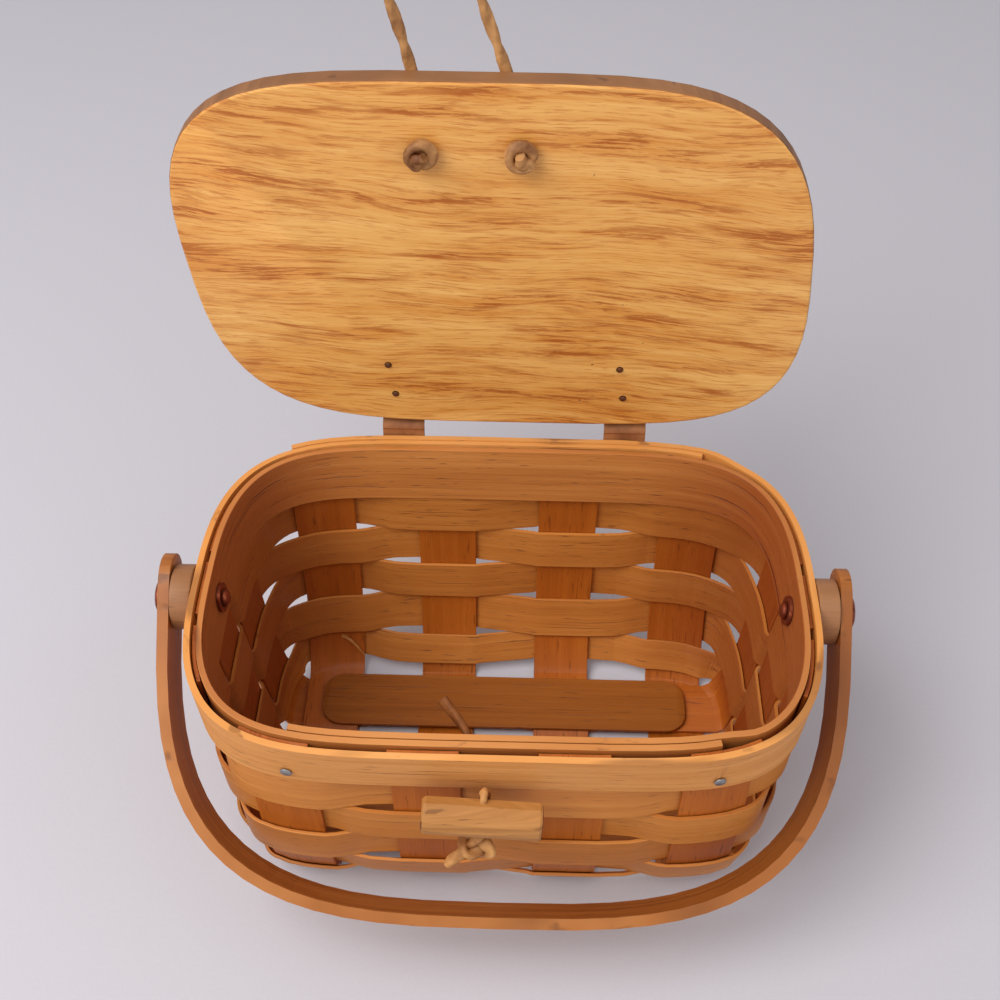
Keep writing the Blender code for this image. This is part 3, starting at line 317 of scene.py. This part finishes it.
# Painted shade: a darker copy of the pale lace, for the lace's tail where it runs inside the basket.
shaded_tail_leather = leather_finish("lace in painted shade", tone(90, 46, 14), tone(158, 94, 38), 0.6)
strap_leather = leather_finish("brown strap leather", tone(122, 70, 36), tone(168, 108, 62), 0.55)
lace_leather = leather_finish("tan lace", tone(108, 62, 28), tone(206, 152, 94), 0.55)
copper = metal_finish("darkened copper", tone(84, 30, 18), tone(168, 86, 56), 0.3, 0.5)
tack_metal = metal_finish("browned tacks", tone(74, 40, 24), tone(136, 84, 52), 0.4, 0.7)
steel = metal_finish("nail steel", tone(96, 92, 92), tone(176, 174, 176), 0.35, 0.4)


# Shapes made here


def shown(name, bm, material, body, smooth=50):
    """A finished piece from its faces, riding on a body if one is given."""
    bmesh.ops.recalc_face_normals(bm, faces=bm.faces)
    mesh = bpy.data.meshes.new(name)
    bm.to_mesh(mesh)
    bm.free()
    mesh.shade_smooth()
    mesh.set_sharp_from_angle(angle=math.radians(smooth))
    mesh.materials.append(material)
    piece = add_to_scene(name, mesh)
    if body:
        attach(piece, body)
    return piece


def finish_part(name, material, bevel=0.0, steps=2, body="basket"):
    """A part with its shape from the model, smooth over its bends and with its edges eased."""
    bm = bmesh.new()
    bm.from_mesh(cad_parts[name].data)
    bmesh.ops.remove_doubles(bm, verts=bm.verts, dist=0.002 * MM)
    piece = shown(f"finished_{name}", bm, material, body, 38)
    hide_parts(name)
    if bevel:
        eased = piece.modifiers.new("Eased edges", "BEVEL")
        eased.width = bevel
        eased.segments = steps
        eased.limit_method = "ANGLE"
        eased.angle_limit = math.radians(38)
        eased.harden_normals = True


for row, finish in enumerate(row_finishes, start=1):
    finish_part(f"weaver_row_{row}", finish, 0.3 * MM)
for number in range(1, 5):
    finish_part(f"stake_across_{number}", across_finish, 0.25 * MM)
for number in range(1, 4):
    finish_part(f"stake_along_{number}", along_finish, 0.25 * MM)
for number in (1, 2):
    finish_part(f"floor_filler_{number}", floor_finish, 0.3 * MM)
    finish_part(f"front_nail_{number}", steel)
finish_part("outer_band", outer_finish, 0.35 * MM)
finish_part("inner_band", inner_finish, 0.35 * MM)
finish_part("handle", handle_finish, 0.7 * MM, 3, "handle")
for side in ("left", "right"):
    finish_part(f"spacer_{side}", spacer_finish, 0.4 * MM)
    finish_part(f"rivet_{side}", copper)
    finish_part(f"burr_{side}", copper)
    for number in (1, 2):
        finish_part(f"lid_tack_{side}_{number}", tack_metal, body="lid")
        finish_part(f"band_tack_{side}_{number}", tack_metal)


def smooth_path(points, steps=10):
    """A smooth curve through the points, as places along it."""
    points = [Vector(point) for point in points]
    ends = [2 * points[0] - points[1], *points, 2 * points[-1] - points[-2]]
    path = []
    for before, here, there, after in zip(ends, ends[1:], ends[2:], ends[3:]):
        leave, arrive = (there - before) / 2, (after - here) / 2
        for i in range(steps):
            t = i / steps
            path.append(
                here * (1 + t * t * (2 * t - 3))
                + there * (t * t * (3 - 2 * t))
                + leave * (t * (1 - t) ** 2)
                + arrive * (t * t * (t - 1))
            )
    return path + [points[-1]]


def lace_faces(bm, path, width, thickness, turn_length, seed):
    """A flat lace along a path, twisted once in each turn_length, with small changes of width."""
    dice = random.Random(seed)
    sides = 14
    along = (path[1] - path[0]).normalized()
    across = along.orthogonal().normalized()
    travelled = 0.0
    rings = []
    for k, point in enumerate(path):
        ahead = path[min(k + 1, len(path) - 1)] - path[max(k - 1, 0)]
        ahead.normalize()
        across = (across - ahead * across.dot(ahead)).normalized()
        up = ahead.cross(across)
        if k:
            travelled += (point - path[k - 1]).length
        twist = math.tau * travelled / turn_length
        swell = 1 + 0.05 * (dice.random() - 0.5)
        ring = []
        for side in range(sides):
            angle = math.tau * side / sides
            wide = width / 2 * swell * math.copysign(abs(math.cos(angle)) ** 0.7, math.cos(angle))
            thick = thickness / 2 * math.copysign(abs(math.sin(angle)) ** 0.7, math.sin(angle))
            x = wide * math.cos(twist) - thick * math.sin(twist)
            y = wide * math.sin(twist) + thick * math.cos(twist)
            ring.append(bm.verts.new(point + across * x + up * y))
        rings.append(ring)
    for ring, following in zip(rings, rings[1:]):
        for side in range(sides):
            following_side = (side + 1) % sides
            bm.faces.new((ring[side], ring[following_side], following[following_side], following[side]))
    bm.faces.new(rings[0][::-1])
    bm.faces.new(rings[-1])


def knot_path(middle, axis, size, turn, steps=64):
    """The line of an overhand knot drawn tight, centred on a place and seen along an axis."""
    axis = Vector(axis).normalized()
    across = Matrix.Rotation(turn, 3, axis) @ axis.orthogonal().normalized()
    up = axis.cross(across)
    path = []
    for i in range(steps + 1):
        t = math.tau * i / steps
        x = math.sin(t) + 2 * math.sin(2 * t)
        y = math.cos(t) - 2 * math.cos(2 * t)
        path.append(middle + (across * x + up * y) * size / 3 - axis * math.sin(3 * t) * size * 0.42)
    return path


def coil_path(middle, axis, size, turn):
    """The line of a knot seen as a ring: one turn round the hole, then its cut end through the middle."""
    axis = Vector(axis).normalized()
    across = Matrix.Rotation(turn, 3, axis) @ axis.orthogonal().normalized()
    up = axis.cross(across)
    places = [(0.1, 0, 0), (0.5, 0.1, 0.15)]
    places += [(math.cos(t * 0.7), math.sin(t * 0.7), 0.32 + t * 0.045) for t in range(1, 10)]
    places += [(0.35, -0.3, 0.98), (0.02, 0.06, 1.12), (-0.3, 0.3, 1.2)]
    return smooth_path([middle + (across * x + up * y + axis * z) * size for x, y, z in places], 6)


# The lid's lace loop and its knots

HOLES = (-23.8, 2.2)
EDGES = (-26.5, -2.3)
HOLE_DEPTH = 95.4 * MM
LOOP_LACE = 3.2 * MM


def loop_route():
    """The loop's line, point for point as in the part's source."""
    lift = LID_THICK + GAP + LOOP_LACE / 2
    leave = LID_THICK + GAP
    middle = sum(EDGES) / 2 - 7
    bend = 2.3 * MM
    reach = 34 * MM
    points = []
    for hole, edge, way in zip(HOLES, EDGES, (-1, 1)):
        leg = [
            lid_at(hole, HOLE_DEPTH, 0),
            lid_at(hole, HOLE_DEPTH, LID_THICK * 0.6),
            lid_at(hole, HOLE_DEPTH, leave),
            lid_at(hole, HOLE_DEPTH + bend * 0.3, leave + bend * 0.7),
            lid_at(hole, HOLE_DEPTH + bend, leave + bend),
            lid_at(hole + (edge - hole) * 0.4, (HOLE_DEPTH + LID_DEPTH) / 2, lift),
            lid_at(edge, LID_DEPTH, lift),
            lid_at((edge + middle + way * 11) / 2, LID_DEPTH + reach * 0.35, lift),
            lid_at(middle + way * 11, LID_DEPTH + reach * 0.7, lift),
            lid_at(middle + way * 6.6, LID_DEPTH + reach * 0.95, lift),
        ]
        points += leg + [lid_at(middle, LID_DEPTH + reach, lift)] if way < 0 else leg[::-1]
    return smooth_path(points)


loop_line = loop_route()
loop_length = sum((b - a).length for a, b in zip(loop_line, loop_line[1:]))
bm = bmesh.new()
lace_faces(bm, loop_line, LOOP_LACE, 2.3 * MM, 24 * MM, 4)
loop = shown("lid_lace_loop", bm, lace_leather, "lid")
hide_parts("lid_loop")

for number, (hole, turn) in enumerate(zip(HOLES, (0.4, 1.7)), start=1):
    bm = bmesh.new()
    inward = lid_at(hole, HOLE_DEPTH, -1 * MM) - lid_at(hole, HOLE_DEPTH, 0)
    middle = lid_at(hole, HOLE_DEPTH, -0.9 * MM)
    lace_faces(bm, coil_path(middle, inward, 3.05 * MM, turn), 3.2 * MM, 2.5 * MM, 26 * MM, number)
    knot = shown(f"lid_lace_knot_{number}", bm, lace_leather, "lid")
    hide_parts(f"lid_knot_{number}")


# The lid board, with its darker sawn edge


def dress_lid():
    bm = bmesh.new()
    bm.from_mesh(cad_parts["lid"].data)
    bmesh.ops.remove_doubles(bm, verts=bm.verts, dist=0.000002)
    bmesh.ops.dissolve_limit(bm, angle_limit=math.radians(0.5), verts=bm.verts, edges=bm.edges)
    outwards = (lid_at(0, 0, 1 * MM) - lid_at(0, 0, 0)).normalized()
    board = shown("lid_board", bm, oak, "lid", 25)
    board.data.materials.append(board_edge_finish)
    for face in board.data.polygons:
        face.material_index = 0 if abs(face.normal.dot(outwards)) > 0.6 else 1
    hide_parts("lid")


dress_lid()


# Hinge straps, each one bent piece of leather

for side, place, slant_top in (("left", -33.1, -37.6), ("right", 36.4, 31.9)):
    lift = LID_THICK + GAP + 0.7 * MM
    route = [
        Vector((place, 57.4, 77.9)) * MM,
        Vector((place, 59.3, 87.5)) * MM,
        Vector((place, 60.83, 95.6)) * MM,
        HINGE + Vector((place, 0, 0)) * MM,
        HINGE + Vector((place, 0.9, 1.0)) * MM,
        lid_at(place, -0.9 * MM, LID_THICK * 0.75),
        lid_at(place, 0.4 * MM, lift),
        lid_at((place + slant_top) / 2, 15 * MM, lift),
        lid_at(slant_top, 29.9 * MM, lift),
    ]
    line = smooth_path(route, 6)
    bm = bmesh.new()
    rows = []
    for k, point in enumerate(line):
        ahead = (line[min(k + 1, len(line) - 1)] - line[max(k - 1, 0)]).normalized()
        face = Vector((1, 0, 0)).cross(ahead).normalized()
        half = 6.5 * MM
        thick = 0.68 * MM
        row = []
        for x, y in ((-1, -1), (-0.5, -1), (0, -1), (0.5, -1), (1, -1), (1, 1), (0.5, 1), (0, 1), (-0.5, 1), (-1, 1)):
            row.append(bm.verts.new(point + Vector((x * half, 0, 0)) + face * y * thick))
        rows.append(row)
    for row, following in zip(rows, rows[1:]):
        for i in range(10):
            j = (i + 1) % 10
            bm.faces.new((row[i], row[j], following[j], following[i]))
    bm.faces.new(rows[0][::-1])
    bm.faces.new(rows[-1])
    strap = shown(f"hinge_strap_{side}", bm, strap_leather, None, 60)
    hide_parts(f"strap_lid_{side}", f"strap_band_{side}")
    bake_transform(strap)


# The peg, its laces and its knot

PEG_TURN = (
    Matrix.Translation(Vector((-3.6, -60.58, 83.7)) * MM)
    @ Matrix.Rotation(math.radians(5), 4, "Y")
    @ Matrix.Translation(-Vector((-3.6, -60.58, 83.7)) * MM)
)


def whittle_peg():
    """A stick cut to rough flats with a knife, its back flat and its ends a little rounded."""
    dice = random.Random(11)
    bm = bmesh.new()
    flats = [math.tau * k / 13 + dice.uniform(-0.09, 0.09) for k in range(13)]
    stations = (-16, -15.6, -14.9, -8, -2, 4, 10, 15.1, 15.7, 16)
    shares = (0.74, 0.9, 0.97, 0.99, 1, 1, 0.99, 0.98, 0.93, 0.8)
    rings = []
    for station, share in zip(stations, shares):
        ring = []
        for angle in flats:
            radius = 5.55 * share * dice.uniform(0.965, 1.0)
            y = min(-63.12 + radius * math.sin(angle), -60.1)
            ring.append(bm.verts.new(PEG_TURN @ (Vector((station - 3.6, y, 76.1 + radius * math.cos(angle))) * MM)))
        rings.append(ring)
    for ring, following in zip(rings, rings[1:]):
        for i in range(13):
            j = (i + 1) % 13
            bm.faces.new((ring[i], ring[j], following[j], following[i]))
    bm.faces.new(rings[0][::-1])
    bm.faces.new(rings[-1])
    bmesh.ops.remove_doubles(bm, verts=bm.verts, dist=0.00002)
    peg = shown("whittled_peg", bm, peg_finish, "toggle", 20)
    peg.data.materials.append(peg_end_finish)
    for face in peg.data.polygons:
        face.material_index = 1 if abs(face.normal.x) > 0.9 else 0
    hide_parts("toggle_peg")


whittle_peg()


def lace_piece(name, points, node, body, width=3.3, thick=2.3, turn_length=22, seed=1, leather=peg_lace_leather):
    bm = bmesh.new()
    lace_faces(bm, smooth_path([Vector(point) * MM for point in points], 6), width * MM, thick * MM, turn_length * MM, seed)
    piece = shown(name, bm, leather, body)
    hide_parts(node)
    return piece


def turned(points):
    return [(PEG_TURN @ (Vector(point) * MM)) / MM for point in points]


peg_top = turned([(-3.6, -58.7, 81.5), (-3.6, -59.7, 82.0), (-3.6, -60.6, 81.7), (-3.6, -61.0, 80.6), (-3.6, -61.6, 78.6), (-3.6, -63.1, 70.6)])
lace_piece("peg_lace_top", peg_top, "toggle_stub", "toggle", width=2.8, thick=1.9, seed=7)
lace_piece(
    "peg_lace",
    [
        (-17.0, -22.9, 70.2),
        (-9.6, -31.4, 66.2),
        (-4.6, -41.9, 61.3),
        (-3.6, -48.2, 60.5),
        (-3.6, -52.5, 60.5),
        (-3.6, -55.8, 60.5),
        (-3.6, -58.04, 65.5),
        (-3.6, -58.04, 73.7),
        (-3.6, -58.04, 79.6),
    ],
    "toggle_lace",
    "basket",
    turn_length=70,
    seed=8,
    # the lace's tail in painted shade
    leather=shaded_tail_leather,
)
bm = bmesh.new()
knot_middle = PEG_TURN @ (Vector((-3.6, -65.4, 66.0)) * MM)
lace_faces(bm, knot_path(knot_middle, (0.1, -1, 0.5), 4.1 * MM, 0.9), 3.6 * MM, 2.3 * MM, 14 * MM, 21)
peg_knot = shown("peg_lace_knot", bm, peg_lace_leather, "toggle")
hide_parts("toggle_knot")
knot_end = turned([(-5.9, -65.2, 62.7), (-7.9, -65.9, 60.0), (-10.2, -66.4, 57.2), (-11.0, -66.7, 55.8)])
lace_piece("peg_lace_end", knot_end, "toggle_end", "toggle", seed=9)


# A sliver that has lifted off a stake in the back left corner


def lift_sliver(name, points, facing, width):
    """A thin torn sliver: it starts on the splint's face and curls away to a point."""
    path = smooth_path([Vector(point) * MM for point in points], 8)
    bm = bmesh.new()
    rings = []
    for k, point in enumerate(path):
        ahead = (path[min(k + 1, len(path) - 1)] - path[max(k - 1, 0)]).normalized()
        across = ahead.cross(Vector(facing)).normalized()
        up = ahead.cross(across)
        half = width / 2 * MM * (1 - 0.85 * k / (len(path) - 1))
        thin = 0.18 * MM
        rings.append([bm.verts.new(point + across * half * x + up * thin * y) for x, y in ((-1, -1), (1, -1), (1, 1), (-1, 1))])
    for ring, following in zip(rings, rings[1:]):
        for i in range(4):
            j = (i + 1) % 4
            bm.faces.new((ring[i], ring[j], following[j], following[i]))
    bm.faces.new(rings[0][::-1])
    bm.faces.new(rings[-1])
    sliver = shown(name, bm, sliver_finish, "basket")


sliver_finish = splint_finish("pale sliver", (tone(164, 102, 46), tone(192, 130, 68), tone(212, 156, 94), tone(124, 74, 32)), "z")
corner_curl = [(-57.8, 40.9, 12.7), (-55, 39.3, 12.8), (-52.3, 37.6, 11.3), (-50.2, 36.3, 9.1), (-49.2, 35.4, 8.5)]
lift_sliver("lifted_sliver", corner_curl, (0.05, -0.86, 0.51), 1.3)


# Floor, backdrop and light


def set_stage():
    cloth = Finish("pale backdrop", 0.9)
    place = cloth.place()
    weave = cloth.noise(place, (900, 900, 900), 2, 0.5)
    cloth.set("Base Color", cloth.blend(weave, tone(190, 187, 192), tone(196, 193, 198)))
    bm = bmesh.new()
    corners = [bm.verts.new((x, y, 0)) for x, y in ((-3, -3), (3, -3), (3, 3), (-3, 3))]
    bm.faces.new(corners)
    mesh = bpy.data.meshes.new("floor")
    bm.to_mesh(mesh)
    bm.free()
    mesh.materials.append(cloth.material)
    add_to_scene("floor", mesh)


def add_lamp(name, place, aim, size, power):
    lamp = bpy.data.lights.new(name, "AREA")
    lamp.energy = power
    lamp.size = size
    obj = add_to_scene(name, lamp)
    obj.matrix_world = Matrix.Translation(place) @ (Vector(aim) - Vector(place)).to_track_quat("-Z", "Y").to_matrix().to_4x4()


set_stage()
add_lamp("window light", (-0.55, -0.35, 0.95), (0, 0, 0.08), 0.8, 11.5)
add_lamp("soft fill", (0.7, -0.6, 0.7), (0, 0, 0.08), 1.2, 2.6)
world = bpy.data.worlds.new("room")
bpy.context.scene.world = world
world.use_nodes = True
world.node_tree.nodes["Background"].inputs["Color"].default_value = (0.98, 0.96, 1, 1)
world.node_tree.nodes["Background"].inputs["Strength"].default_value = 0.52
bpy.context.scene.view_settings.view_transform = "Standard"
